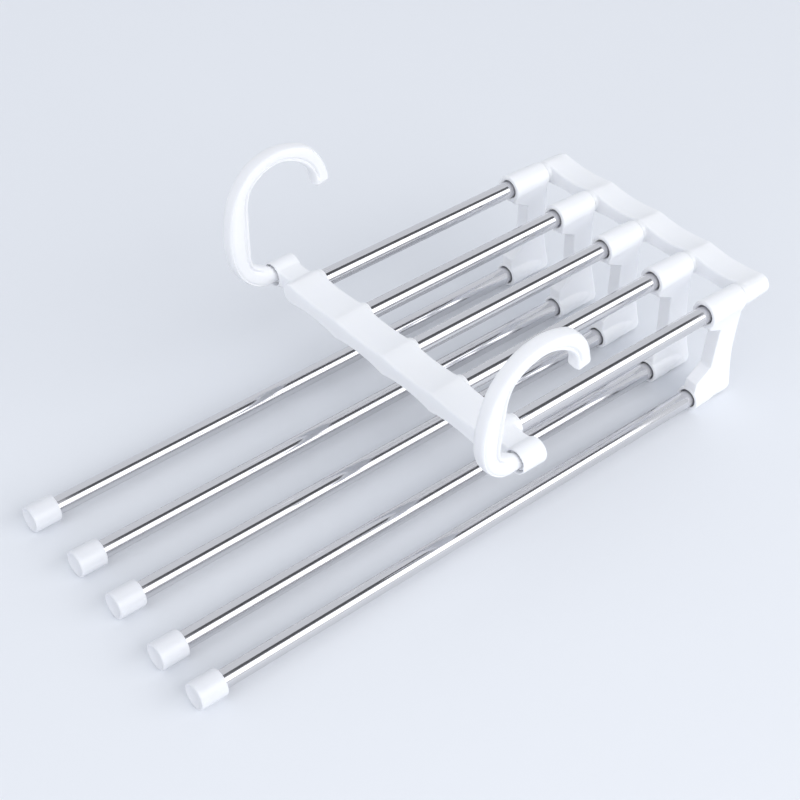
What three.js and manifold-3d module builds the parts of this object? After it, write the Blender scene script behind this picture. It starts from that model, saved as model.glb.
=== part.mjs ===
// Five-tier trouser rack with two hooks. Millimetres, +Z up.
// X runs along the rods from the end caps to the brackets, Y across the tiers, and the
// origin lies on the surface that the rack stands on, midway between its ends.
// A tier is an upper rod, a bracket, a lower rod and an end cap. It turns as one about
// its upper rod, which is held at one end by the end bar and near the middle by the hook bar.

import * as THREE from 'three';
import { mergeVertices } from 'three/addons/utils/BufferGeometryUtils.js';
import Module from 'manifold-3d';

const wasm = await Module();
wasm.setup();

// Rack as a whole
const overallLength = 362;
const tierPitch = 36.4;
const tierDrop = 61.3;
const tierSwingDegrees = [1, -2.1, 0, -1.6, 4.4];
const openReach = 133.5;
const lowerRodPull = 3.1;

// Rods: thin tubes
const rodDiameter = 9.5;
const rodWall = 0.5;

// Clearances
const fitGap = 0.3;
const swingGap = 0.8;
const overrun = 1;
const mergeTolerance = 1e-5;

// End bar
const endBarDepth = 16.6;
const endBarFloor = 4.4;
const bossRadius = 6.3;
const bossLead = 2.4;
const bossLeadRadius = 5.75;
const bossEdge = 0.4;
const endBarTopDip = -0.5;
const endBarBottomDip = -4.2;
const endBarTaper = 0.8;
const endBarBackEdge = 1;
const barEdge = 0.4;

// Hook bar
const hookBarDepth = 19.5;
const hookBarFloor = 3;
const hookBarTopDip = 1.4;
const hookBarBottomDip = -3.7;
const hookBarTaper = 0.5;
const hookBarFrontEdge = 1;

// Hook sleeves at the ends of the hook bar
const sleeveOffset = 19.3;
const sleeveRadius = 6.7;
const sleeveLength = 15;
const sleeveSetback = 3;
const sleeveEdge = 0.6;
const sleeveMouthRadius = 5.9;
const sleeveMouthDepth = 4;
const sleeveBackRadius = 5.7;
const sleeveBackDepth = 4.8;
const neckRadius = 5.6;
const neckDip = 4.5;
const neckSetback = 0.8;

// Hooks
const pegRadius = 3.9;
const collarRadius = 5.3;
const collarThickness = 1.4;
const barbRadius = 4.9;
const barbLead = 1.6;
const barbTipRadius = 3.1;
const pegSlotWidth = 1.6;
const pegSlotLength = 10;
const hookLeanDegrees = 3.5;
const hookSetback = 26;
const hookDepth = 61.9;
const hookRise = 72;
const hookThickness = 8;
const hookTipEdge = 2.4;
const hookStations = 22;

// Brackets
const upperSleeveLength = 25.7;
const plateThickness = 7.3;
const plateEdge = 0.9;
const upperMouthRadius = 7.7;
const upperBackRadius = 6.8;
const mouthEdge = 0.5;
const mouthChamfer = 0.6;
const backEdge = 0.8;
const footRadius = 7;
const footSetback = 3.6;
const footBarrel = 10.6;
const footTaper = 4.5;
const footEndRadius = 4.6;
const footSocketDepth = 14;
const notchInset = 13;
const notchDepth = 39;
const footShoulder = 3.4;
const waistInset = 0.3;
const heelReach = 6;
const heelCorner = 3;
const soleGap = 1.8;
const channelDepth = 0.7;
const channelRim = 1.2;

// End caps
const capLength = 14.5;
const capFloor = 2.8;
const capEdge = 1;
const capBackEdge = 0.6;
const capDishRadius = 5.7;
const capDishDepth = 0.9;
const capDishFlank = 1.4;

// Facets
const roundSegments = 18;
const arcSteps = 4;
const hollowSteps = 5;
const endArcSteps = 6;
const edgeSteps = 2;

// Outline of a hook, back from the front of its spine as shares of hookDepth, and up from
// the peg's axis as shares of hookRise: outer edge, then the inner edge across from it.
const hookShares = [
  [0.35, -0.053, 0.35, 0.108],
  [0.235, -0.012, 0.275, 0.147],
  [0.11, 0.08, 0.227, 0.182],
  [0.035, 0.205, 0.21, 0.24],
  [0, 0.375, 0.212, 0.385],
  [0.012, 0.53, 0.216, 0.55],
  [0.055, 0.695, 0.224, 0.695],
  [0.147, 0.835, 0.262, 0.79],
  [0.304, 0.952, 0.368, 0.866],
  [0.514, 1, 0.524, 0.902],
  [0.705, 0.98, 0.66, 0.874],
  [0.868, 0.92, 0.79, 0.802],
  [0.978, 0.8, 0.872, 0.716],
  [1.028, 0.665, 0.9, 0.64],
  [1.03, 0.635, 0.902, 0.61],
];

// Half section of a hook from its outer to its inner edge, as shares of half the width and
// of half the thickness: rims along both edges, a groove inside each and a wide middle.
const sectionShares = [
  [1, 0.55],
  [0.9, 1],
  [0.76, 1],
  [0.7, 0.78],
  [0.54, 0.78],
  [0.46, 1],
  [-0.46, 1],
  [-0.54, 0.78],
  [-0.7, 0.78],
  [-0.76, 1],
  [-0.9, 1],
  [-1, 0.55],
];

// Places along a hook's bow, as shares of it, between which its section turns from the peg's
// round to flat, its grooves deepen, and they run out again before the tip.
const flatteningShares = [0.02, 0.14];
const grooveStartShares = [0.05, 0.15];
const grooveEndShares = [0.9, 0.95];

// How far each lower rod stands out of the deepest place in its foot, in shares of
// lowerRodPull: the rods of the rack are not pushed in alike.
const lowerRodPullShares = [0.26, 0, 0.23, 1, 1];

// Derived places along X
const rodRadius = rodDiameter / 2;
const rodBore = rodRadius - rodWall;
const facetShare = Math.cos(Math.PI / roundSegments);
const socketRadius = (rodRadius + fitGap) / facetShare;
const spigotRadius = rodBore * facetShare - fitGap;
const pegBoreRadius = (pegRadius + fitGap) / facetShare;
const bossClearRadius = (bossLeadRadius + fitGap) / facetShare;
const backFace = overallLength / 2;
const frontFace = -backFace;
const linkFace = backFace - endBarDepth;
const bossFace = linkFace - bossLead;
const bracketBack = bossFace - fitGap;
const sleeveMouth = bracketBack - upperSleeveLength;
const hookBarBack = sleeveMouth - openReach;
const hookBarFront = hookBarBack - hookBarDepth;
const hookBossFace = hookBarBack + bossLead;
const upperRodStart = hookBarFront + hookBarFloor + fitGap;
const upperRodEnd = backFace - endBarFloor - fitGap;
const footMouth = sleeveMouth + footSetback;
const capFace = frontFace + lowerRodPull;
const lowerRodStart = capFace + capFloor + fitGap;
const lowerRodEnd = footMouth + footSocketDepth - fitGap;
const hookSleeveFront = hookBarFront + sleeveSetback;
const hookSleeveBack = hookSleeveFront + sleeveLength;

// Derived places along Y and Z
const tierCount = tierSwingDegrees.length;
const tierSpan = (tierCount - 1) * tierPitch;
const standHeight = footRadius * facetShare;
const upperHeight = standHeight + tierDrop;
const tierPlaces = tierSwingDegrees.map((swing, i) => tierSpan / 2 - i * tierPitch);
const hookPlace = tierSpan / 2 + sleeveOffset;

const plastic = new THREE.MeshStandardMaterial({ color: 0xf3f6fb, roughness: 0.28, metalness: 0 });
const steel = new THREE.MeshStandardMaterial({ color: 0xc9ccd1, roughness: 0.12, metalness: 1 });

// Solids in and out of the boolean library

function solidOf(geometry) {
  geometry.deleteAttribute('normal');
  geometry.deleteAttribute('uv');
  const merged = mergeVertices(geometry, mergeTolerance);
  const corners = merged.index.array;
  const kept = [];
  for (let i = 0; i < corners.length; i += 3) {
    const [a, b, c] = corners.slice(i, i + 3);
    if (a !== b && b !== c && c !== a) {
      kept.push(a, b, c);
    }
  }
  const vertProperties = merged.attributes.position.array;
  return new wasm.Manifold(new wasm.Mesh({ numProp: 3, vertProperties, triVerts: Uint32Array.from(kept) }));
}

function geometryOf(solid) {
  const mesh = solid.getMesh();
  const geometry = new THREE.BufferGeometry();
  geometry.setAttribute('position', new THREE.BufferAttribute(mesh.vertProperties, mesh.numProp));
  geometry.setIndex(new THREE.BufferAttribute(mesh.triVerts, 1));
  geometry.computeVertexNormals();
  return geometry;
}

function joined(solids) {
  return solids.reduce((whole, solid) => whole.add(solid));
}

function without(solid, cuts) {
  return cuts.reduce((whole, cut) => whole.subtract(cut), solid);
}

// Shapes

// A solid of revolution about a line along X through (y, z). The profile's [x, radius]
// points run along the outside towards +X, and back along the inside.
function revolved(profile, y = 0, z = 0) {
  const points = profile.map(([x, radius]) => new THREE.Vector2(radius, x));
  const closed = profile[0][1] > 0 ? [...points, points[0]] : points;
  const geometry = new THREE.LatheGeometry(closed, roundSegments, Math.PI / roundSegments);
  geometry.rotateZ(-Math.PI / 2);
  geometry.translate(0, y, z);
  return solidOf(geometry);
}

function rod(from, to, radius) {
  return [[from, 0], [from, radius], [to, radius], [to, 0]];
}

// Quarter-round steps for an edge of the given radius, as [distance in, inset] pairs.
function edgeRounding(radius) {
  return Array.from({ length: edgeSteps + 1 }, (unused, k) => {
    const angle = (k / edgeSteps) * (Math.PI / 2);
    return [radius * (1 - Math.sin(angle)), radius * (1 - Math.cos(angle))];
  });
}

// The solid between outlines with equal point counts, all turning the same way.
function lofted(outlines, place) {
  const count = outlines[0].length;
  const positions = outlines.flatMap((outline, k) => outline.flatMap((point) => place(point, k).toArray()));
  const index = [];
  for (let k = 0; k + 1 < outlines.length; k += 1) {
    for (let i = 0; i < count; i += 1) {
      const a = k * count + i;
      const b = k * count + ((i + 1) % count);
      index.push(a, b, b + count);
      index.push(a, b + count, a + count);
    }
  }
  const last = (outlines.length - 1) * count;
  for (const [a, b, c] of THREE.ShapeUtils.triangulateShape(outlines[0], [])) {
    index.push(c, b, a);
  }
  for (const [a, b, c] of THREE.ShapeUtils.triangulateShape(outlines.at(-1), [])) {
    index.push(last + a, last + b, last + c);
  }
  const geometry = new THREE.BufferGeometry();
  geometry.setAttribute('position', new THREE.Float32BufferAttribute(positions, 3));
  geometry.setIndex(index);
  return solidOf(geometry);
}

// A flat outline in the XZ plane, thickened evenly to both sides of y = 0.
function plate(shape, thickness, edge) {
  const geometry = new THREE.ExtrudeGeometry(shape, {
    depth: thickness - 2 * edge,
    bevelEnabled: edge > 0,
    bevelSize: edge,
    bevelOffset: -edge,
    bevelThickness: edge,
    bevelSegments: 2,
    curveSegments: arcSteps,
  });
  geometry.translate(0, 0, edge - thickness / 2);
  geometry.rotateX(Math.PI / 2);
  return solidOf(geometry);
}

function arc(y, z, radius, from, to, steps) {
  return Array.from({ length: steps + 1 }, (unused, k) => {
    const angle = from + (to - from) * (k / steps);
    return new THREE.Vector2(y + radius * Math.cos(angle), z + radius * Math.sin(angle));
  });
}

// One long edge of a bar from its last boss back to its first: round over each boss, and
// a tangent hollow that reaches height dip between two bosses. All of it lies inset inside.
function scallops(centres, radius, dip, inset) {
  const half = (centres[1] - centres[0]) / 2;
  const hollow = (half ** 2 + dip ** 2 - radius ** 2) / (2 * (radius - dip));
  const lean = Math.atan2(dip + hollow, half);
  const points = [];
  for (let i = centres.length - 1; i >= 0; i -= 1) {
    const from = i === centres.length - 1 ? 0 : lean;
    const to = i === 0 ? Math.PI : Math.PI - lean;
    const steps = i === 0 || i === centres.length - 1 ? endArcSteps : arcSteps;
    points.push(...arc(centres[i], 0, radius - inset, from, to, steps));
    if (i > 0) {
      const between = arc(centres[i] - half, dip + hollow, hollow + inset, -lean, lean - Math.PI, hollowSteps);
      points.push(...between.slice(1, -1));
    }
  }
  return points;
}

function barOutline(centres, radius, topDip, bottomDip, inset) {
  const top = scallops(centres, radius, topDip, inset);
  const mirrored = scallops(centres, radius, -bottomDip, inset).map((point) => new THREE.Vector2(point.x, -point.y));
  return [...top, ...mirrored.reverse().slice(1, -1)];
}

// A bar across the tiers from its front [x, edge radius, boss radius] to its back, with
// rounded long edges and bosses that taper from one radius to the other.
function scallopedBar(centres, topDip, bottomDip, front, back) {
  const [frontX, frontEdge, frontRadius] = front;
  const [backX, backEdgeRadius, backRadius] = back;
  const stations = [
    ...edgeRounding(frontEdge).reverse().map(([along, inset]) => [frontX + along, inset, frontRadius]),
    ...edgeRounding(backEdgeRadius).map(([along, inset]) => [backX - along, inset, backRadius]),
  ];
  const outlines = stations.map(([, inset, radius]) => barOutline(centres, radius, topDip, bottomDip, inset));
  return lofted(outlines, (point, k) => new THREE.Vector3(stations[k][0], point.x, point.y));
}

// Blind socket for a rod's end, from its floor to its mouth at x = mouth.
function rodSocket(mouth, floor, y) {
  const open = mouth + Math.sign(mouth - floor) * overrun;
  return revolved(rod(Math.min(open, floor), Math.max(open, floor), socketRadius), y);
}

// Rods

function tubeSolid(from, to) {
  return revolved([
    [from, rodRadius],
    [to, rodRadius],
    [to, rodBore],
    [from, rodBore],
  ]);
}

// Socket round a spigot for one end of the lower rod: a ring-shaped cut from mouth to floor.
function ringSocket(mouth, floor, side) {
  const tip = mouth - side * fitGap;
  const profile = [
    [mouth + side * overrun, 0],
    [mouth + side * overrun, socketRadius],
    [floor, socketRadius],
    [floor, spigotRadius],
    [tip, spigotRadius],
    [tip, 0],
  ];
  return revolved(side < 0 ? profile : profile.reverse());
}

// End cap: a cup over the rod's end, with a spigot inside and a shallow dish in its face

function capSolid() {
  const back = capFace + capLength;
  const body = revolved([
    [capFace + capDishDepth, 0],
    [capFace + capDishDepth, capDishRadius - capDishFlank],
    [capFace, capDishRadius],
    ...edgeRounding(capEdge).reverse().map(([along, inset]) => [capFace + along, footRadius - inset]),
    [back - capBackEdge, footRadius],
    [back, footRadius - capBackEdge],
    [back, 0],
  ]);
  return body.subtract(ringSocket(back, lowerRodStart - fitGap, 1));
}

// Bracket: upper sleeve, plate and foot socket in one moulding, about the upper rod's axis

function bracketOutline() {
  const back = linkFace - swingGap;
  const heel = linkFace + heelReach;
  const sole = -tierDrop - footRadius + soleGap;
  const notch = sleeveMouth + notchInset;
  const shoulder = footMouth + footBarrel / 2 - footShoulder;
  const shape = new THREE.Shape();
  shape.moveTo(notch, 0);
  shape.lineTo(notch, -notchDepth);
  shape.lineTo(shoulder, -notchDepth - (notch - shoulder));
  shape.lineTo(shoulder, -tierDrop);
  shape.lineTo(footMouth + footBarrel, sole);
  shape.lineTo(heel - heelCorner, sole);
  shape.quadraticCurveTo(heel, sole, heel, sole + heelCorner);
  shape.bezierCurveTo(heel - heelReach, -notchDepth, back - waistInset, -notchDepth, back, -bossClearRadius);
  shape.lineTo(bracketBack - backEdge, -bossClearRadius);
  shape.lineTo(bracketBack - backEdge, 0);
  return shape;
}

// The shallow channel moulded into the notch side of the plate, between two rims.
function bracketChannel() {
  const notch = sleeveMouth + notchInset;
  const shoulder = footMouth + footBarrel / 2 - footShoulder;
  const bend = channelDepth * Math.tan(Math.PI / 8);
  const shape = new THREE.Shape();
  shape.moveTo(notch - overrun, -upperMouthRadius - channelRim);
  shape.lineTo(notch - overrun, -notchDepth + overrun * Math.tan(Math.PI / 8));
  shape.lineTo(shoulder - overrun, -notchDepth - (notch - shoulder));
  shape.lineTo(shoulder + channelDepth, -notchDepth - (notch - shoulder) - bend);
  shape.lineTo(notch + channelDepth, -notchDepth - bend);
  shape.lineTo(notch + channelDepth, -upperMouthRadius - channelRim);
  return plate(shape, plateThickness - 2 * channelRim, 0);
}

function bracketSolid() {
  const upper = revolved([
    [sleeveMouth, 0],
    [sleeveMouth, upperMouthRadius - mouthEdge],
    [sleeveMouth + mouthEdge, upperMouthRadius],
    [bracketBack - backEdge, upperBackRadius],
    [bracketBack, upperBackRadius - backEdge],
    [bracketBack, 0],
  ]);
  const foot = revolved([
    [footMouth, 0],
    [footMouth, footRadius - mouthEdge],
    [footMouth + mouthEdge, footRadius],
    [footMouth + footBarrel, footRadius],
    [footMouth + footBarrel + footTaper, footEndRadius],
    [footMouth + footBarrel + footTaper, 0],
  ], 0, -tierDrop);
  const bore = revolved([
    [sleeveMouth - overrun, 0],
    [sleeveMouth - overrun, socketRadius + mouthChamfer],
    [sleeveMouth, socketRadius + mouthChamfer],
    [sleeveMouth + mouthChamfer, socketRadius],
    [backFace, socketRadius],
    [backFace, 0],
  ]);
  const socket = ringSocket(footMouth, footMouth + footSocketDepth, -1).translate([0, 0, -tierDrop]);
  const body = joined([upper, foot, plate(bracketOutline(), plateThickness, plateEdge)]);
  return without(body, [bracketChannel(), bore, socket]);
}

// Bars

function bossSolid(link, side, y) {
  const face = link + side * bossLead;
  const profile = [
    [link - side * overrun, 0],
    [link - side * overrun, bossLeadRadius],
    [face - side * bossEdge, bossLeadRadius],
    [face, bossLeadRadius - bossEdge],
    [face, 0],
  ];
  return revolved(side > 0 ? profile : profile.reverse(), y);
}

function endBarSolid() {
  const centres = [...tierPlaces].reverse();
  const front = [linkFace, barEdge, bossRadius];
  const back = [backFace, endBarBackEdge, bossRadius - endBarTaper];
  const bar = scallopedBar(centres, endBarTopDip, endBarBottomDip, front, back);
  const bosses = centres.map((y) => bossSolid(linkFace, -1, y));
  const sockets = centres.map((y) => rodSocket(bossFace, backFace - endBarFloor, y));
  return without(joined([bar, ...bosses]), sockets);
}

// Sleeve in which a hook's peg turns: open at both ends, wider at the mouth for the peg's
// collar and at the back for its barbs.
function hookSleeve(y) {
  return revolved([
    [hookSleeveFront, 0],
    [hookSleeveFront, sleeveRadius - sleeveEdge],
    [hookSleeveFront + sleeveEdge, sleeveRadius],
    [hookSleeveBack - sleeveEdge, sleeveRadius],
    [hookSleeveBack, sleeveRadius - sleeveEdge],
    [hookSleeveBack, 0],
  ], y);
}

function hookSleeveBore(y) {
  return revolved([
    [hookSleeveFront - overrun, 0],
    [hookSleeveFront - overrun, sleeveMouthRadius],
    [hookSleeveFront + sleeveMouthDepth, sleeveMouthRadius],
    [hookSleeveFront + sleeveMouthDepth, pegBoreRadius],
    [hookSleeveBack - sleeveBackDepth, pegBoreRadius],
    [hookSleeveBack - sleeveBackDepth, sleeveBackRadius],
    [hookSleeveBack + overrun, sleeveBackRadius],
    [hookSleeveBack + overrun, 0],
  ], y);
}

function hookBarSolid() {
  const centres = [...tierPlaces].reverse();
  const front = [hookBarFront, hookBarFrontEdge, bossRadius - hookBarTaper];
  const back = [hookBarBack, barEdge, bossRadius];
  const bar = scallopedBar(centres, hookBarTopDip, hookBarBottomDip, front, back);
  const necks = [-1, 1].map((side) => scallopedBar(
    [side * tierSpan / 2, side * hookPlace].sort((a, b) => a - b),
    neckDip,
    -neckDip,
    [hookSleeveFront + neckSetback, barEdge, neckRadius],
    [hookSleeveBack - neckSetback, barEdge, neckRadius],
  ));
  const sleeves = [-1, 1].map((side) => hookSleeve(side * hookPlace));
  const bosses = centres.map((y) => bossSolid(hookBarBack, 1, y));
  const sockets = centres.map((y) => rodSocket(hookBossFace, hookBarFront + hookBarFloor, y));
  const bores = [-1, 1].map((side) => hookSleeveBore(side * hookPlace));
  return without(joined([bar, ...necks, ...sleeves, ...bosses]), [...sockets, ...bores]);
}

// Hook: a C-shaped bow of grooved section that runs into a round peg, about the peg's axis

// One section of the bow, rounder or flatter, with its grooves as deep as their share says.
function hookSection(width, thickness, flatShare, grooveShare) {
  const half = sectionShares.map(([across, up], k) => {
    const angle = (Math.PI * (k + 1)) / (sectionShares.length + 1);
    const inGroove = up < 1 && Math.abs(across) < 1;
    const lifted = inGroove ? THREE.MathUtils.lerp(1, up, grooveShare) : up;
    return new THREE.Vector2(
      (THREE.MathUtils.lerp(Math.cos(angle), across, flatShare) * width) / 2,
      (THREE.MathUtils.lerp(Math.sin(angle), lifted, flatShare) * thickness) / 2,
    );
  });
  const mirrored = half.map((point) => new THREE.Vector2(point.x, -point.y));
  return [...half, ...mirrored.reverse()];
}

function hookBowSolid() {
  const spineFront = hookSleeveFront - hookSetback;
  const mouth = hookSleeveFront + sleeveMouthDepth / 2;
  const at = (across, up) => new THREE.Vector3(spineFront + across * hookDepth, 0, up * hookRise);
  const outerCurve = new THREE.CatmullRomCurve3([
    new THREE.Vector3(mouth, 0, -pegRadius),
    ...hookShares.map(([across, up]) => at(across, up)),
  ]);
  const innerCurve = new THREE.CatmullRomCurve3([
    new THREE.Vector3(mouth, 0, pegRadius),
    ...hookShares.map(([, , across, up]) => at(across, up)),
  ]);
  const stations = [];
  for (let k = 0; k <= hookStations; k += 1) {
    const share = k / hookStations;
    const outer = outerCurve.getPoint(share);
    const inner = innerCurve.getPoint(share);
    const flatShare = THREE.MathUtils.smoothstep(share, ...flatteningShares);
    const grooveShare = THREE.MathUtils.smoothstep(share, ...grooveStartShares)
      - THREE.MathUtils.smoothstep(share, ...grooveEndShares);
    const thickness = THREE.MathUtils.lerp(2 * pegRadius, hookThickness, flatShare);
    stations.push({
      centre: outer.clone().add(inner).multiplyScalar(1 / 2),
      across: outer.clone().sub(inner).normalize(),
      outline: hookSection(outer.distanceTo(inner), thickness, flatShare, grooveShare),
    });
  }
  const last = stations.at(-1);
  const ahead = last.centre.clone().sub(stations.at(-2).centre).normalize();
  const tipWidth = 2 * Math.max(...last.outline.map((point) => point.x));
  for (const [along, inset] of edgeRounding(hookTipEdge).slice(1)) {
    stations.push({
      centre: last.centre.clone().addScaledVector(ahead, hookTipEdge - along),
      across: last.across,
      outline: hookSection(tipWidth - 2 * inset, hookThickness - 2 * inset, 1, 0),
    });
  }
  stations.reverse();
  return lofted(stations.map(({ outline }) => outline), (point, k) => new THREE.Vector3(
    stations[k].centre.x + stations[k].across.x * point.x,
    point.y,
    stations[k].centre.z + stations[k].across.z * point.x,
  ));
}

// Peg: collar in the sleeve's mouth, a plain bearing length, and barbs in the sleeve's back,
// split lengthwise so that they can close up on the way in.
function hookPegSolid() {
  const collarBack = hookSleeveFront + sleeveMouthDepth - fitGap;
  const shoulder = hookSleeveBack - sleeveBackDepth + fitGap;
  const tip = hookSleeveBack - fitGap;
  const peg = revolved([
    [collarBack - collarThickness - overrun, 0],
    [collarBack - collarThickness - overrun, pegRadius],
    [collarBack - collarThickness, pegRadius],
    [collarBack - collarThickness, collarRadius],
    [collarBack, collarRadius],
    [collarBack, pegRadius],
    [shoulder, pegRadius],
    [shoulder, barbRadius],
    [shoulder + barbLead, barbRadius],
    [tip, barbTipRadius],
    [tip, 0],
  ]);
  const slotStart = tip - pegSlotLength;
  const slot = new THREE.BoxGeometry(pegSlotLength + overrun, pegSlotWidth, 2 * collarRadius);
  slot.translate(slotStart + (pegSlotLength + overrun) / 2, 0, 0);
  return peg.subtract(solidOf(slot));
}

// Assembly

const uprights = {
  upper_rod: [geometryOf(tubeSolid(upperRodStart, upperRodEnd)), steel],
  bracket: [geometryOf(bracketSolid()), plastic],
  lower_rod: [geometryOf(tubeSolid(lowerRodStart, lowerRodEnd)), steel],
  end_cap: [geometryOf(capSolid()), plastic],
};

function named(name, geometry, material) {
  const mesh = new THREE.Mesh(geometry, material.clone());
  mesh.name = name;
  return mesh;
}

function tier(number) {
  const group = new THREE.Group();
  for (const [kind, [geometry, material]] of Object.entries(uprights)) {
    const mesh = named(`${kind}_${number + 1}`, geometry, material);
    if (kind === 'lower_rod' || kind === 'end_cap') {
      mesh.position.set(-lowerRodPull * lowerRodPullShares[number], 0, -tierDrop);
    }
    group.add(mesh);
  }
  group.position.set(0, tierPlaces[number], upperHeight);
  group.rotation.x = THREE.MathUtils.degToRad(tierSwingDegrees[number]);
  return group;
}

function bar(name, solid) {
  const mesh = named(name, geometryOf(solid), plastic);
  mesh.position.z = upperHeight;
  return mesh;
}

function hook(name, side) {
  const mesh = named(name, hookGeometry, plastic);
  mesh.position.set(0, side * hookPlace, upperHeight);
  mesh.rotation.x = THREE.MathUtils.degToRad(-side * hookLeanDegrees);
  return mesh;
}

const hookGeometry = geometryOf(hookBowSolid().add(hookPegSolid()));
const rack = new THREE.Group();
rack.add(bar('hook_bar', hookBarSolid()));
rack.add(bar('end_bar', endBarSolid()));
rack.add(hook('far_hook', 1));
rack.add(hook('near_hook', -1));
for (let number = 0; number < tierCount; number += 1) {
  rack.add(tier(number));
}

export default rack;
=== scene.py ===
"""Looks of the five-tier trouser rack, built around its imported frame.

Lengths of the rack are in millimetres and turn into metres as each mesh is made. X runs along
the tubes from the caps to the brackets, Y across the tiers, and Z up from the floor. The
studio's lengths are in metres."""

import math

import bpy
from mathutils import Matrix, Vector


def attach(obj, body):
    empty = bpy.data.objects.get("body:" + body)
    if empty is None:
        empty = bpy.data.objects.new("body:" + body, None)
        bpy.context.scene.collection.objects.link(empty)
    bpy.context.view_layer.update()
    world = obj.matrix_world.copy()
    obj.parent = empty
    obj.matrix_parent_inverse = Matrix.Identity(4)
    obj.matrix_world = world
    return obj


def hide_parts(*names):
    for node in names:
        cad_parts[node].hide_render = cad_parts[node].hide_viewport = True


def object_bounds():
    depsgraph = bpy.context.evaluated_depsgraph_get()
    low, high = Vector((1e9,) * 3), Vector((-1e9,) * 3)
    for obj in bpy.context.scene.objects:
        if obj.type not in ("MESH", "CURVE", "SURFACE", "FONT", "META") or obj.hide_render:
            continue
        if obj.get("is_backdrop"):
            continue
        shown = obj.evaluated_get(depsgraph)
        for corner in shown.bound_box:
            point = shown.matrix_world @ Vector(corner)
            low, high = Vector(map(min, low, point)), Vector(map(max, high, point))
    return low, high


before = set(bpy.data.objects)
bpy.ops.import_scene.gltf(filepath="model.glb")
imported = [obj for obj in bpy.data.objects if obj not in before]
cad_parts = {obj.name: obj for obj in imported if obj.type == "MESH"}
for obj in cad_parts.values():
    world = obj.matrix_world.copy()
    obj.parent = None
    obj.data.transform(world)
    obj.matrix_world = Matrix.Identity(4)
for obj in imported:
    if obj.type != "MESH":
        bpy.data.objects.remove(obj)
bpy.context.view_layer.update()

MM = 0.001

# Rack, as in the solids
LENGTH = 362
PITCH = 36.4
DROP = 61.3
SWINGS = [1, -2.1, 0, -1.6, 4.4]
HOOK_LEAN = 3.5
ROD_R = 4.75
ROD_WALL = 0.5
FACET = math.cos(math.pi / 18)
FOOT_R = 7.0
STAND = FOOT_R * FACET
UPPER_Z = STAND + DROP
PLACES = [(2 - i) * PITCH for i in range(5)]
HOOK_REACH = 19.3
HOOK_Y = 2 * PITCH + HOOK_REACH
ROD_PULL = 3.1
ROD_PULL_SHARES = [0.26, 0, 0.23, 1, 1]

END_BAR_DEPTH = 16.6
BOSS_R = 6.3
BOSS_LEAD = 2.4
BOSS_LEAD_R = 5.75
SOCKET_R = 5.1
BOSS_GAP = 0.3
SLEEVE_LENGTH = 25.7
FOOT_SETBACK = 3.6
SPIGOT_R = 3.9
HOOK_BAR_PLACE = 133.5
HOOK_BAR_DEPTH = 19.5
HOOK_SLEEVE_SETBACK = 3
HOOK_SLEEVE_LENGTH = 15

# Walls and depths at the tubes' ends, and the gap that a tube leaves in front of each
HOOK_BAR_WALL = 3
END_BAR_WALL = 4.4
FOOT_SOCKET_DEPTH = 14
CAP_WALL = 2.8
END_GAP = 0.3

# Stations along X
BACK = LENGTH / 2
CAP_FACE = ROD_PULL - BACK
LINK_FACE = BACK - END_BAR_DEPTH
BOSS_FACE = LINK_FACE - BOSS_LEAD
BRACKET_BACK = BOSS_FACE - BOSS_GAP
MOUTH = BRACKET_BACK - SLEEVE_LENGTH
FOOT_MOUTH = MOUTH + FOOT_SETBACK
HOOK_BAR_BACK = MOUTH - HOOK_BAR_PLACE
HOOK_BAR_FRONT = HOOK_BAR_BACK - HOOK_BAR_DEPTH
SLEEVE_FRONT = HOOK_BAR_FRONT + HOOK_SLEEVE_SETBACK
SLEEVE_BACK = SLEEVE_FRONT + HOOK_SLEEVE_LENGTH

# Hollows between two bosses, on top and below, as heights over the bar's middle. The tops of
# the two long bars are the scene's own and shallower than the solids'.
END_BAR_DIPS = 3.7, -4.2
HOOK_BAR_DIPS = 4.9, -3.7
NECK_DIPS = 4.5, -4.5

# Segments around a lathed shape
ROUND = 64


# Mesh making

def quarter(radius, steps=4):
    """[distance in, inset] pairs of a rounded edge, from the flank to the face."""
    return [
        (radius * (1 - math.sin(a)), radius * (1 - math.cos(a)))
        for a in (k / steps * math.pi / 2 for k in range(steps + 1))
    ]


def lathe(profile, y=0.0, z=0.0, segments=ROUND):
    """Closed solid of revolution about a line along X through (y, z). The profile's (x, r)
    points run towards +X outside and back inside, or start and end on the axis."""
    verts, rings = [], []
    for x, r in profile:
        if r <= 0:
            rings.append([len(verts)])
            verts.append((x, y, z))
            continue
        rings.append(list(range(len(verts), len(verts) + segments)))
        for k in range(segments):
            a = 2 * math.pi * k / segments
            verts.append((x, y + r * math.cos(a), z + r * math.sin(a)))
    faces = []
    pairs = list(zip(rings, rings[1:]))
    if profile[0][1] > 0:
        pairs.append((rings[-1], rings[0]))
    for a, b in pairs:
        for k in range(segments):
            n = (k + 1) % segments
            if len(a) == 1:
                faces.append((a[0], b[n], b[k]))
            elif len(b) == 1:
                faces.append((a[k], a[n], b[0]))
            else:
                faces.append((a[k], a[n], b[n], b[k]))
    return verts, faces


def lofted(outlines):
    """Closed solid between rings of points with equal counts."""
    n = len(outlines[0])
    verts = [p for ring in outlines for p in ring]
    faces = []
    for k in range(len(outlines) - 1):
        for i in range(n):
            j = (i + 1) % n
            faces.append((k * n + i, k * n + j, (k + 1) * n + j, (k + 1) * n + i))
    last = (len(outlines) - 1) * n
    faces.append(tuple(reversed(range(n))))
    faces.append(tuple(range(last, last + n)))
    return verts, faces


def prism(outline, half):
    """Flat outline in the XZ plane, thickened to both sides of y = 0."""
    return lofted([[(x, y, z) for x, z in outline] for y in (half, -half)])


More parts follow.
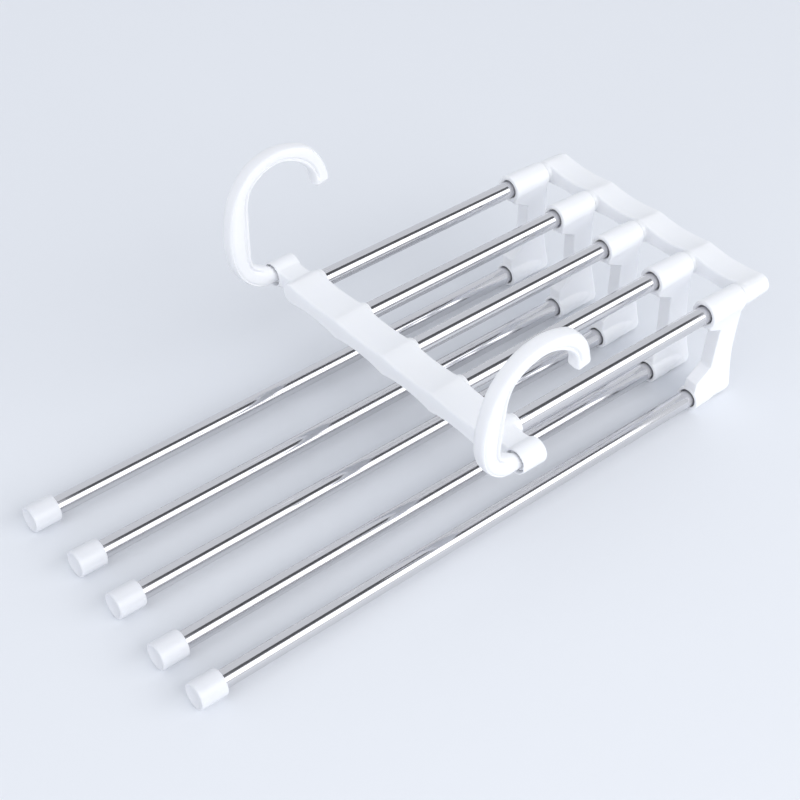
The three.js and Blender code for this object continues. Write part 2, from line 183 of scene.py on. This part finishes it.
def block(low, high):
    """Box between two opposite corners."""
    (x0, y0, z0), (x1, y1, z1) = low, high
    ring = [(x0, z0), (x1, z0), (x1, z1), (x0, z1)]
    return lofted([[(x, y, z) for x, z in ring] for y in (y1, y0)])


def mesh_of(name, solids):
    """One mesh of several (points, faces) solids, in metres."""
    verts, faces = [], []
    for v, f in solids:
        base = len(verts)
        verts += [tuple(c * MM for c in p) for p in v]
        faces += [tuple(i + base for i in face) for face in f]
    mesh = bpy.data.meshes.new(name)
    mesh.from_pydata(verts, [], faces)
    mesh.update()
    return mesh


def thing(name, mesh):
    obj = bpy.data.objects.new(name, mesh)
    bpy.context.scene.collection.objects.link(obj)
    return obj


def baked(obj):
    """The object's mesh with its modifiers applied for good."""
    view = bpy.context.evaluated_depsgraph_get()
    mesh = bpy.data.meshes.new_from_object(obj.evaluated_get(view))
    old = obj.data
    obj.modifiers.clear()
    obj.data = mesh
    bpy.data.meshes.remove(old)
    return mesh


def add_grid(obj, voxel):
    """Remeshes overlapping solids into one skin of small squares."""
    grid = obj.modifiers.new("grid", "REMESH")
    grid.mode = "VOXEL"
    grid.voxel_size = voxel * MM


def add_cut(obj, cutter):
    take = obj.modifiers.new("take", "BOOLEAN")
    take.operation = "DIFFERENCE"
    take.solver = "EXACT"
    take.object = cutter


def moulded(name, solids, cuts, voxel, smoothing):
    """One moulding from overlapping solids: joined, cut, remeshed and softened, so that the
    inner corners get the small fillets of a plastic part."""
    obj = thing(name, mesh_of(name, solids))
    cutter = thing(name + "_cut", mesh_of(name + "_cut", cuts))
    add_grid(obj, voxel)
    add_cut(obj, cutter)
    baked(obj)
    bpy.data.objects.remove(cutter)
    add_grid(obj, voxel)
    soft = obj.modifiers.new("soft", "SMOOTH")
    soft.factor = 0.5
    soft.iterations = smoothing
    mesh = baked(obj)
    mesh.shade_smooth()
    bpy.data.objects.remove(obj)
    return mesh


# Shapes shared by the bars

def arc(y, z, radius, start, end, steps):
    """Points of an arc about (y, z), with both ends."""
    return [
        (y + radius * math.cos(a), z + radius * math.sin(a))
        for a in (start + (end - start) * k / steps for k in range(steps + 1))
    ]


def scallops(centres, radius, dip, inset, steps=12):
    """Upper half of a bar's outline from its last boss to its first: an arc over each boss and
    a tangent hollow that reaches height dip between two. All of it lies inset inside."""
    half = (centres[1] - centres[0]) / 2
    hollow = (half**2 + dip**2 - radius**2) / (2 * (radius - dip))
    lean = math.atan2(dip + hollow, half)
    points = []
    for i in range(len(centres) - 1, -1, -1):
        start = 0 if i == len(centres) - 1 else lean
        end = math.pi if i == 0 else math.pi - lean
        points += arc(centres[i], 0, radius - inset, start, end, steps)
        if i > 0:
            middle = centres[i] - half
            between = arc(middle, dip + hollow, hollow + inset, -lean, lean - math.pi, steps + 4)
            points += between[1:-1]
    return points


def bar_outline(centres, radius, dips, inset):
    top_dip, bottom_dip = dips
    top = scallops(centres, radius, top_dip, inset)
    bottom = [(y, -z) for y, z in scallops(centres, radius, -bottom_dip, inset)]
    return top + bottom[::-1][1:-1]


def scalloped_bar(centres, dips, front, back):
    """Bar along Y. Front and back each give a face's x, its rounded edge and its boss radius."""
    front_x, front_edge, front_r = front
    back_x, back_edge, back_r = back
    stations = [(front_x + a, i, front_r) for a, i in reversed(quarter(front_edge))]
    stations += [(back_x - a, i, back_r) for a, i in quarter(back_edge)]
    return lofted([
        [(x, y, z) for y, z in bar_outline(centres, r, dips, inset)]
        for x, inset, r in stations
    ])


def boss(link, side, y):
    """Low round lead that stands out of a bar's face at x = link, towards side."""
    root, bevel = link - side * 2, 0.5
    face = link + side * BOSS_LEAD
    profile = [
        (root, 0), (root, BOSS_LEAD_R), (face - side * bevel, BOSS_LEAD_R),
        (face, BOSS_LEAD_R - bevel), (face, 0),
    ]
    return lathe(profile if side > 0 else profile[::-1], y)


def plug(x0, x1, radius, y):
    return lathe([(x0, 0), (x0, radius), (x1, radius), (x1, 0)], y)


# Bars

def end_bar_mesh():
    centres = PLACES[::-1]
    bar = scalloped_bar(centres, END_BAR_DIPS, (LINK_FACE, 0.7, BOSS_R), (BACK, 1.2, BOSS_R - 0.8))
    solids = [bar] + [boss(LINK_FACE, -1, y) for y in centres]
    cuts = [plug(BOSS_FACE - 1, BACK - END_BAR_WALL, SOCKET_R, y) for y in centres]
    return moulded("end_bar_mesh", solids, cuts, 0.4, 3)


def hook_bar_mesh():
    centres = PLACES[::-1]
    bar = scalloped_bar(
        centres, HOOK_BAR_DIPS, (HOOK_BAR_FRONT, 1, BOSS_R - 0.5), (HOOK_BAR_BACK, 0.7, BOSS_R))
    solids = [bar] + [boss(HOOK_BAR_BACK, 1, y) for y in centres]
    boss_face = HOOK_BAR_BACK + BOSS_LEAD
    cuts = [plug(HOOK_BAR_FRONT + HOOK_BAR_WALL, boss_face + 1, SOCKET_R, y) for y in centres]
    sleeve_r, neck_r, neck_inset, edge = 6.7, 5.6, 0.8, quarter(0.7)
    mouth_r, bore_r, barb_r = 5.9, 4.3, 5.7
    mouth_end, barb_start = SLEEVE_FRONT + 4, SLEEVE_BACK - 4.8
    for side in (-1, 1):
        ends = sorted((side * 2 * PITCH, side * HOOK_Y))
        solids.append(scalloped_bar(
            ends, NECK_DIPS,
            (SLEEVE_FRONT + neck_inset, 0.7, neck_r), (SLEEVE_BACK - neck_inset, 0.7, neck_r),
        ))
        solids.append(lathe(
            [(SLEEVE_FRONT, 0)] + [(SLEEVE_FRONT + a, sleeve_r - i) for a, i in reversed(edge)]
            + [(SLEEVE_BACK - a, sleeve_r - i) for a, i in edge] + [(SLEEVE_BACK, 0)],
            side * HOOK_Y,
        ))
        cuts.append(lathe([
            (SLEEVE_FRONT - 1, 0), (SLEEVE_FRONT - 1, mouth_r),
            (mouth_end, mouth_r), (mouth_end, bore_r),
            (barb_start, bore_r), (barb_start, barb_r),
            (SLEEVE_BACK + 1, barb_r), (SLEEVE_BACK + 1, 0),
        ], side * HOOK_Y))
    return moulded("hook_bar_mesh", solids, cuts, 0.4, 3)


# Brackets, about the upper rod's axis

def bezier(a, b, c, d, steps):
    """Points of a cubic curve, without its start."""
    out = []
    for k in range(1, steps + 1):
        t = k / steps
        u = 1 - t
        out.append(tuple(
            u**3 * a[i] + 3 * u**2 * t * b[i] + 3 * u * t**2 * c[i] + t**3 * d[i] for i in range(2)
        ))
    return out


def bracket_mesh():
    back = LINK_FACE - 0.8
    heel = LINK_FACE + 6
    sole = -DROP - FOOT_R + 0.9
    notch = MOUTH + 13
    shoulder = FOOT_MOUTH + 0.4
    bend, ledge = -41.6, -49.2
    clear = (BOSS_LEAD_R + 0.3) / FACET
    half = 3.9

    # Plate: web under the sleeve, notch, slope to the foot's mouth, sole, heel and waist
    web = MOUTH + 1.2
    outline = [
        (web, 0), (web, -8), (notch, -14.5), (notch, bend), (shoulder, ledge),
        (shoulder, -DROP), (FOOT_MOUTH + 10.6, sole), (heel - 3, sole),
    ]
    outline += bezier((heel - 3, sole), (heel - 1, sole), (heel, sole + 1), (heel, sole + 3), 6)
    outline += bezier((heel, sole + 3), (LINK_FACE, -39), (back - 0.3, -39), (back, -clear), 16)
    outline += [(BRACKET_BACK - 0.8, -clear), (BRACKET_BACK - 0.8, 0)]
    plate = prism(outline, half)

    mouth_r, end_r = 7.7, 6.8
    upper = lathe(
        [(MOUTH, 0)] + [(MOUTH + a, mouth_r - i) for a, i in reversed(quarter(0.6))]
        + [(BRACKET_BACK - a, end_r - i) for a, i in quarter(0.8)] + [(BRACKET_BACK, 0)]
    )
    run_out = [(9, FOOT_R), (13, 6.7), (18, 5.8), (23, 4.6), (27, 3.4), (27, 0)]
    foot = lathe(
        [(FOOT_MOUTH, 0)] + [(FOOT_MOUTH + a, FOOT_R - i) for a, i in reversed(quarter(0.6))]
        + [(FOOT_MOUTH + a, r) for a, r in run_out], 0, -DROP,
    )

    # Fillet: from the sleeve's flanks, where it is widest, down to the plate's
    high, low, flare = -2, -19, 2.9
    fillet = []
    for x, deep in ((web, -8), (notch, -14.5), (notch + 5, low), (BRACKET_BACK - 1.2, low)):
        side = []
        for k in range(9):
            z = high + (deep - high) * k / 8
            side.append((half + flare * ((z - low) / (high - low)) ** 1.8, z))
        fillet.append([(x, y, z) for y, z in side] + [(x, -y, z) for y, z in side[::-1]])

    mouth_bore = 5.75
    bore = lathe([
        (MOUTH - 1, 0), (MOUTH - 1, mouth_bore), (MOUTH, mouth_bore), (MOUTH + 0.7, SOCKET_R),
        (BACK, SOCKET_R), (BACK, 0),
    ])
    floor, spigot_end = FOOT_MOUTH + FOOT_SOCKET_DEPTH, FOOT_MOUTH + 0.3
    socket = lathe([
        (FOOT_MOUTH - 1, 0), (FOOT_MOUTH - 1, 5.5), (FOOT_MOUTH + 0.6, SOCKET_R), (floor, SOCKET_R),
        (floor, SPIGOT_R), (spigot_end, SPIGOT_R), (spigot_end, 0),
    ], 0, -DROP)
    return moulded("bracket_mesh", [plate, upper, foot, lofted(fillet)], [bore, socket], 0.33, 6)


# Hooks, about the peg's axis

# The bow's outer and inner edge from the sleeve to the tip, x and z of each, as shares of the
# hook's depth and rise
HOOK_SHARES = [
    (0.35, -0.053, 0.35, 0.108),
    (0.235, -0.012, 0.275, 0.147),
    (0.11, 0.08, 0.227, 0.182),
    (0.035, 0.205, 0.21, 0.24),
    (0, 0.375, 0.212, 0.385),
    (0.012, 0.53, 0.216, 0.55),
    (0.055, 0.695, 0.224, 0.695),
    (0.147, 0.835, 0.262, 0.79),
    (0.304, 0.952, 0.368, 0.866),
    (0.514, 1, 0.524, 0.902),
    (0.705, 0.98, 0.66, 0.874),
    (0.868, 0.92, 0.79, 0.802),
    (0.978, 0.8, 0.872, 0.716),
    (1.028, 0.665, 0.9, 0.64),
    (1.03, 0.635, 0.902, 0.61),
]
HOOK_DEPTH, HOOK_RISE, HOOK_SETBACK = 61.9, 72, 26
HOOK_THICKNESS = 8
PEG_R = 3.9
# Half of the bow's section from its outer edge to its inner edge, as shares: soft edges, a
# faint line inside the outer one, a wide middle and a deeper line inside the inner one.
SECTION = [
    (1, 0), (0.99, 0.36), (0.955, 0.63), (0.9, 0.83), (0.85, 0.89),
    (0.81, 0.86), (0.77, 0.8), (0.72, 0.83),
    (0.66, 0.94), (0.5, 1), (0.28, 1), (0.06, 1), (-0.14, 1), (-0.28, 0.985),
    (-0.36, 0.9), (-0.42, 0.76), (-0.48, 0.68), (-0.55, 0.68), (-0.6, 0.78), (-0.64, 0.92),
    (-0.71, 0.96), (-0.82, 0.89), (-0.92, 0.7), (-0.98, 0.4), (-1, 0),
]
# Where across the section the lines and the middle lie, which start and end with the groove
LINED = -0.7, 0.84


def smoothstep(t, a, b):
    """Rises softly from 0 at a to 1 at b."""
    t = min(max((t - a) / (b - a), 0), 1)
    return t * t * (3 - 2 * t)


def hook_section(width, thickness, flat, groove):
    """One section of the bow, from round to grooved, as (across, along y) points."""
    ring = []
    n = len(SECTION) - 1
    for k, (x, y) in enumerate(SECTION):
        a = math.pi * k / n
        lined = LINED[0] < x < LINED[1]
        lifted = y + (1 - y) * (1 - groove) if lined else y
        ring.append((
            (math.cos(a) * (1 - flat) + x * flat) * width / 2,
            (math.sin(a) * (1 - flat) + lifted * flat) * thickness / 2,
        ))
    return ring + [(x, -y) for x, y in ring[-2:0:-1]]


def catmull(points, t):
    """Centripetal Catmull-Rom curve through the points, at share t."""
    n = len(points) - 1
    at = t * n
    i = min(int(at), n - 1)
    w = at - i
    p1, p2 = points[i], points[i + 1]
    p0 = points[i - 1] if i > 0 else p1 + (p1 - p2)
    p3 = points[i + 2] if i + 2 <= n else p2 + (p2 - p1)
    d0, d1, d2 = ((b - a).length ** 0.5 for a, b in ((p0, p1), (p1, p2), (p2, p3)))
    m1 = ((p1 - p0) / d0 - (p2 - p0) / (d0 + d1) + (p2 - p1) / d1) * d1
    m2 = ((p2 - p1) / d1 - (p3 - p1) / (d1 + d2) + (p3 - p2) / d2) * d1
    c2 = -3 * p1 + 3 * p2 - 2 * m1 - m2
    c3 = 2 * p1 - 2 * p2 + m1 + m2
    return c3 * w**3 + c2 * w**2 + m1 * w + p1


def bow_stations():
    """Centre, direction across, width, thickness, flatness and groove along the bow."""
    spine = SLEEVE_FRONT - HOOK_SETBACK
    mouth = SLEEVE_FRONT + 2
    outer, inner = [Vector((mouth, -PEG_R))], [Vector((mouth, PEG_R))]
    for outer_x, outer_z, inner_x, inner_z in HOOK_SHARES:
        outer.append(Vector((spine + outer_x * HOOK_DEPTH, outer_z * HOOK_RISE)))
        inner.append(Vector((spine + inner_x * HOOK_DEPTH, inner_z * HOOK_RISE)))
    stations = []
    count = 110
    for k in range(count + 1):
        t = k / count
        a, b = catmull(outer, t), catmull(inner, t)
        flat = smoothstep(t, 0.02, 0.14)
        groove = smoothstep(t, 0.05, 0.15) - smoothstep(t, 0.9, 0.95)
        stations.append(((a + b) / 2, (a - b).normalized(), (a - b).length,
                         2 * PEG_R * (1 - flat) + HOOK_THICKNESS * flat, flat, groove))
    centre, across, width, thick, _, _ = stations[-1]
    ahead = (centre - stations[-2][0]).normalized()
    tip = 1.6
    for a, i in quarter(tip, 8)[1:]:
        stations.append((centre + ahead * (tip - a), across, width - 2 * i, thick - 2 * i, 1, 0))
    return stations


def hook_mesh():
    """The bow, and the peg with its collar, barbs and slot."""
    rings = []
    for c, a, w, h, f, g in reversed(bow_stations()):
        rings.append([(c.x + a.x * u, v, c.y + a.y * u) for u, v in hook_section(w, h, f, g)])
    collar_r, collar_edge, collar_back = 5.3, 0.2, SLEEVE_FRONT + 3.7
    collar_front = collar_back - 1.4
    barb_r, barb_length, barb = 4.9, 1.6, SLEEVE_BACK - 4.5
    end_r, end = 3.1, SLEEVE_BACK - 0.3
    peg = lathe([
        (collar_front - 1, 0), (collar_front - 1, PEG_R), (collar_front, PEG_R),
        (collar_front, collar_r - collar_edge), (collar_front + collar_edge, collar_r),
        (collar_back - collar_edge, collar_r), (collar_back, collar_r - collar_edge),
        (collar_back, PEG_R), (barb, PEG_R), (barb, barb_r), (barb + barb_length, barb_r),
        (end, end_r), (end, 0),
    ])
    slot = block((end - 10, -0.8, -6), (end + 1, 0.8, 6))
    obj = thing("hook_shape", mesh_of("hook_shape", [peg]))
    cutter = thing("hook_slot", mesh_of("hook_slot", [slot]))
    add_cut(obj, cutter)
    peg_mesh = baked(obj)
    bow_mesh = mesh_of("hook_bow", [lofted(rings)])
    verts = [v.co[:] for v in bow_mesh.vertices] + [v.co[:] for v in peg_mesh.vertices]
    base = len(bow_mesh.vertices)
    faces = [tuple(p.vertices) for p in bow_mesh.polygons]
    faces += [tuple(i + base for i in p.vertices) for p in peg_mesh.polygons]
    for o in (obj, cutter):
        bpy.data.objects.remove(o)
    mesh = bpy.data.meshes.new("hook_mesh")
    mesh.from_pydata(verts, [], faces)
    mesh.update()
    mesh.shade_smooth()
    mesh.set_sharp_from_angle(angle=math.radians(40))
    return mesh


# Tubes and caps, about their own axes

def tube_mesh(name, start, end):
    edge = quarter(0.15, 2)
    inner = ROD_R - ROD_WALL
    profile = [(start + a, ROD_R - i) for a, i in reversed(edge)]
    profile += [(end - a, ROD_R - i) for a, i in edge]
    profile += [(end - a, inner + i) for a, i in reversed(edge)]
    profile += [(start + a, inner + i) for a, i in edge]
    mesh = mesh_of(name, [lathe(profile, segments=96)])
    mesh.shade_smooth()
    mesh.set_sharp_from_angle(angle=math.radians(50))
    return mesh


def cap_mesh():
    """Cup with a bowl-shaped dish in its face and a spigot inside."""
    length, bore_r = 14.5, 5.2
    face, back = CAP_FACE, CAP_FACE + length
    dish_r, dish_depth, steps = 6.1, 2.6, 14
    ball = (dish_r**2 + dish_depth**2) / (2 * dish_depth)
    dish = []
    for k in range(steps):
        r = dish_r * k / steps
        dish.append((face + dish_depth - ball + math.sqrt(ball**2 - r**2), r))
    dish.append((face, dish_r))
    rim = [(face + a, FOOT_R - i) for a, i in reversed(quarter(0.8, 6))][1:]
    flank = [(face + 1.6, FOOT_R), (back - 3, FOOT_R), (back - 0.9, FOOT_R)]
    rear = [(back - a, FOOT_R - i) for a, i in quarter(0.6, 4)]
    floor, spigot_end = face + CAP_WALL, back - 0.3
    cup = [
        (back, bore_r), (floor, bore_r),
        (floor, SPIGOT_R), (spigot_end, SPIGOT_R), (spigot_end, 0),
    ]
    mesh = mesh_of("cap_mesh", [lathe(dish + rim + flank + rear + cup)])
    mesh.shade_smooth()
    mesh.set_sharp_from_angle(angle=math.radians(45))
    return mesh


# Materials

def node_material(name):
    mat = bpy.data.materials.new(name)
    mat.use_nodes = True
    nodes, links = mat.node_tree.nodes, mat.node_tree.links
    return mat, nodes, links, nodes["Principled BSDF"]


def noise(nodes, links, place, scale, detail, stretch=None):
    tex = nodes.new("ShaderNodeTexNoise")
    tex.inputs["Scale"].default_value = scale
    tex.inputs["Detail"].default_value = detail
    if stretch:
        mapping = nodes.new("ShaderNodeMapping")
        mapping.inputs["Scale"].default_value = stretch
        links.new(place.outputs["Object"], mapping.inputs["Vector"])
        links.new(mapping.outputs["Vector"], tex.inputs["Vector"])
    else:
        links.new(place.outputs["Object"], tex.inputs["Vector"])
    return tex


def ramp(nodes, links, source, low, high, stops=(0.35, 0.65)):
    """Colours, or plain values, that a noise mixes between."""
    node = nodes.new("ShaderNodeValToRGB")
    for element, at, value in zip(node.color_ramp.elements, stops, (low, high)):
        element.position = at
        element.color = (*value, 1) if hasattr(value, "__len__") else (value, value, value, 1)
    links.new(source.outputs[0], node.inputs["Fac"])
    return node


def plastic_material(name, low, high, depth):
    """Moulded plastic between two near shades, with light that sinks in by the share depth."""
    mat, nodes, links, shader = node_material(name)
    place = nodes.new("ShaderNodeTexCoord")
    tone = ramp(nodes, links, noise(nodes, links, place, 22, 3), low, high)
    links.new(tone.outputs["Color"], shader.inputs["Base Color"])
    rough = ramp(nodes, links, noise(nodes, links, place, 140, 2), 0.29, 0.33)
    links.new(rough.outputs["Color"], shader.inputs["Roughness"])
    shader.inputs["IOR"].default_value = 1.49
    shader.inputs["Subsurface Weight"].default_value = depth
    shader.inputs["Subsurface Radius"].default_value = (0.002, 0.002, 0.0022)
    shader.inputs["Subsurface Scale"].default_value = 1
    bump = nodes.new("ShaderNodeBump")
    bump.inputs["Strength"].default_value = 0.03
    bump.inputs["Distance"].default_value = 0.0002
    links.new(noise(nodes, links, place, 260, 1).outputs[0], bump.inputs["Height"])
    links.new(bump.outputs["Normal"], shader.inputs["Normal"])
    return mat


def steel_material():
    """Polished tube with a fine grain drawn out along X."""
    mat, nodes, links, shader = node_material("polished_tube")
    place = nodes.new("ShaderNodeTexCoord")
    drawn = noise(nodes, links, place, 60, 2, (0.4, 12, 12))
    tone = ramp(nodes, links, drawn, (0.69, 0.685, 0.7), (0.72, 0.715, 0.73))
    links.new(tone.outputs["Color"], shader.inputs["Base Color"])
    shader.inputs["Metallic"].default_value = 1
    rough = ramp(nodes, links, drawn, 0.1, 0.115)
    links.new(rough.outputs["Color"], shader.inputs["Roughness"])
    bump = nodes.new("ShaderNodeBump")
    bump.inputs["Strength"].default_value = 0.004
    bump.inputs["Distance"].default_value = 0.0001
    links.new(drawn.outputs[0], bump.inputs["Height"])
    links.new(bump.outputs["Normal"], shader.inputs["Normal"])
    return mat


PLASTIC = plastic_material("white_plastic", (0.905, 0.915, 0.945), (0.925, 0.935, 0.96), 0.25)
# Painted light: the hooks' copy of the white plastic is toned apart from the rest for how light
# falls on their flanks.
HOOK_PLASTIC_TONED_FOR_LIGHT = plastic_material("hook_plastic_toned_for_light", (0.89, 0.895, 0.915), (0.91, 0.915, 0.93), 0.2)
# Painted shade: the caps' copy of the white plastic is darker than the rest, standing in for the
# shade on their dished faces.
SHADED_CAP_PLASTIC = plastic_material("cap_plastic_painted_shade", (0.79, 0.8, 0.83), (0.81, 0.82, 0.85), 0.15)
STEEL = steel_material()


# Pieces

def placed(name, mesh, material, body, node, place, turn=0.0):
    """A piece that stands for one CAD node, turned about X at its place."""
    obj = thing(name, mesh)
    if not mesh.materials:
        mesh.materials.append(material)
    turned = Matrix.Rotation(math.radians(turn), 4, "X")
    obj.matrix_world = Matrix.Translation([c * MM for c in place]) @ turned
    bpy.context.view_layer.update()
    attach(obj, body)
    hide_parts(node)


bars_place = (0, 0, UPPER_Z)
placed("hook_bar_moulding", hook_bar_mesh(), PLASTIC, "frame", "hook_bar", bars_place)
placed("end_bar_moulding", end_bar_mesh(), PLASTIC, "frame", "end_bar", bars_place)
hook_shape = hook_mesh()
for word, side in (("far", 1), ("near", -1)):
    hook = f"{word}_hook"
    placed(f"{hook}_moulding", hook_shape, HOOK_PLASTIC_TONED_FOR_LIGHT, hook, hook,
           (0, side * HOOK_Y, UPPER_Z), -side * HOOK_LEAN)

upper_tube = tube_mesh(
    "upper_tube_mesh", HOOK_BAR_FRONT + HOOK_BAR_WALL + END_GAP, BACK - END_BAR_WALL - END_GAP)
lower_tube = tube_mesh(
    "lower_tube_mesh", CAP_FACE + CAP_WALL + END_GAP, FOOT_MOUTH + FOOT_SOCKET_DEPTH - END_GAP)
bracket = bracket_mesh()
cap = cap_mesh()
for number, (y, swing, pull) in enumerate(zip(PLACES, SWINGS, ROD_PULL_SHARES), 1):
    lean = math.radians(swing)
    top = (0, y, UPPER_Z)
    low = (-ROD_PULL * pull, y + DROP * math.sin(lean), UPPER_Z - DROP * math.cos(lean))
    tier = f"tier_{number}"
    for name, mesh, material, slot, node, place in (
        ("upper_tube", upper_tube, STEEL, "steel", "upper_rod", top),
        ("bracket_moulding", bracket, PLASTIC, "plastic", "bracket", top),
        ("lower_tube", lower_tube, STEEL, "steel", "lower_rod", low),
        ("cap_moulding", cap, SHADED_CAP_PLASTIC, "plastic", "end_cap", low),
    ):
        placed(f"{name}_{number}", mesh, material, tier, f"{node}_{number}", place, swing)


# Studio

def studio_floor():
    """A wide pale table top, a hair below the rack."""
    size, steps, level = 6.0, 40, -0.0004
    verts, faces = [], []
    for j in range(steps + 1):
        for i in range(steps + 1):
            x = (i / steps - 0.5) * size
            y = (j / steps - 0.5) * size
            verts.append((x, y, level))
    for j in range(steps):
        for i in range(steps):
            a = j * (steps + 1) + i
            faces.append((a, a + 1, a + steps + 2, a + steps + 1))
    mesh = bpy.data.meshes.new("floor_mesh")
    mesh.from_pydata(verts, [], faces)
    mesh.shade_smooth()
    floor = thing("floor", mesh)
    mat, nodes, links, shader = node_material("pale_floor")
    place = nodes.new("ShaderNodeTexCoord")
    patches = noise(nodes, links, place, 1.2, 1)
    tone = ramp(nodes, links, patches, (0.83, 0.85, 0.885), (0.85, 0.87, 0.905))
    links.new(tone.outputs["Color"], shader.inputs["Base Color"])
    shader.inputs["Roughness"].default_value = 0.6
    shader.inputs["Specular IOR Level"].default_value = 0.25
    mesh.materials.append(mat)
    floor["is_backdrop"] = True


def turned_to(place, target):
    return (Vector(target) - Vector(place)).to_track_quat("-Z", "Y")


def area_light(name, place, target, size, radiance):
    data = bpy.data.lights.new(name, "AREA")
    data.shape = "RECTANGLE"
    data.size, data.size_y = size
    data.energy = radiance * math.pi * size[0] * size[1]
    obj = bpy.data.objects.new(name, data)
    bpy.context.scene.collection.objects.link(obj)
    obj.location = place
    obj.rotation_mode = "QUATERNION"
    obj.rotation_quaternion = turned_to(place, target)


def dark_flag(middle, length, width):
    """A dark card along X above the softbox, which draws the thin line along polished tubes."""
    x, y, z = middle
    far = math.hypot(y, z)
    up = (-z / far * width / 2, y / far * width / 2)
    corners = [
        (x + i * length / 2, y + j * up[0], z + j * up[1])
        for i, j in ((-1, -1), (1, -1), (1, 1), (-1, 1))
    ]
    mesh = bpy.data.meshes.new("flag_mesh")
    mesh.from_pydata(corners, [], [(0, 1, 2, 3)])
    mat, nodes, links, shader = node_material("flag_cloth")
    place = nodes.new("ShaderNodeTexCoord")
    tone = ramp(nodes, links, noise(nodes, links, place, 9, 2), 0.1, 0.14)
    links.new(tone.outputs["Color"], shader.inputs["Base Color"])
    shader.inputs["Roughness"].default_value = 0.9
    mesh.materials.append(mat)
    thing("flag", mesh)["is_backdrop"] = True


def studio_lights():
    world = bpy.data.worlds.new("studio")
    bpy.context.scene.world = world
    world.use_nodes = True
    background = world.node_tree.nodes["Background"]
    background.inputs["Color"].default_value = (0.91, 0.94, 1, 1)
    background.inputs["Strength"].default_value = 0.84
    area_light("key", (1.2, -2.1, 1.35), (1.2, 0, 0.03), (4.0, 1.8), 1.85)
    area_light("fill", (-1.9, -0.9, 1.3), (0, 0, 0.04), (1.6, 1.6), 0.8)
    dark_flag((1.05, -0.46, 1.74), 2.5, 0.95)


def photo_camera():
    """The camera that was fitted to the photograph, whose focal length is in its pixels."""
    sensor, focal_pixels, photo_pixels = 36, 1753.8, 800
    data = bpy.data.cameras.new("camera")
    data.sensor_width = sensor
    data.lens = sensor * focal_pixels / photo_pixels
    data.clip_start, data.clip_end = 0.05, 30
    obj = bpy.data.objects.new("camera", data)
    bpy.context.scene.collection.objects.link(obj)
    right = Vector((0.762551, -0.646701, 0.017106))
    down = Vector((-0.413206, -0.507233, -0.756291))
    look = Vector((0.497771, 0.569642, -0.654012))
    turn = Matrix((right, -down, -look)).transposed().to_4x4()
    obj.matrix_world = Matrix.Translation((-0.443602, -0.50302, 0.616301)) @ turn
    bpy.context.scene.camera = obj


studio_floor()
studio_lights()
photo_camera()
bpy.context.scene.view_settings.view_transform = "Standard"

low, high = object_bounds()
